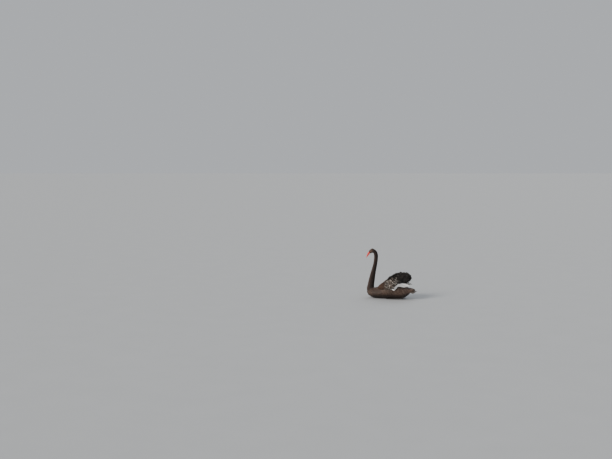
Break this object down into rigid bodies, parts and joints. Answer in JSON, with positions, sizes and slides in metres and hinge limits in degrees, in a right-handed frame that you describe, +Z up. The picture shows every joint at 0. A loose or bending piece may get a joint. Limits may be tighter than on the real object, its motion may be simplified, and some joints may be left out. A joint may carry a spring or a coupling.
{
  "type": "black swan",
  "caption": "Life-size black swan resting afloat on its belly, neck upright, red bill lowered, curled plumes raised over the back, white flight feathers showing.",
  "frame": {"origin": "on the belly's flat, under the middle of the trunk", "axes": "+Z up, the bill towards -X, the tail towards +X, the bird's left side towards -Y"},
  "size_m": [0.6788, 0.2998, 0.6435],
  "materials": {
    "body_plumage": "matt black-brown feathers with paler grey-brown fringes",
    "neck_plumage": "short velvety black-brown feathers",
    "head_plumage": "fine short black-brown feathers, bare red skin before the eye",
    "wing_plumage": "ruffled dark coverts and curled plumes with a soft sheen",
    "tail_plumage": "stiff dark feathers with grey-brown edges",
    "white_quills": "clean white flight feathers",
    "bill": "satin red horn with a pale bar and nail",
    "eye": "wet red iris, black pupil",
    "leg_skin": "scaled grey-black skin"
  },
  "bodies": {
    "root": {"trunk": "body_plumage", "tail": "tail_plumage", "neck_lower": "neck_plumage", "neck_middle": "neck_plumage", "neck_upper": "neck_plumage", "head": "head_plumage", "bill_upper": "bill", "bill_lower": "bill", "wing_left": "wing_plumage", "quills_left": "white_quills", "leg_left": "leg_skin", "foot_left": "leg_skin", "eye_left": "eye", "wing_right": "wing_plumage", "quills_right": "white_quills", "leg_right": "leg_skin", "foot_right": "leg_skin", "eye_right": "eye"}
  },
  "joints": []
}
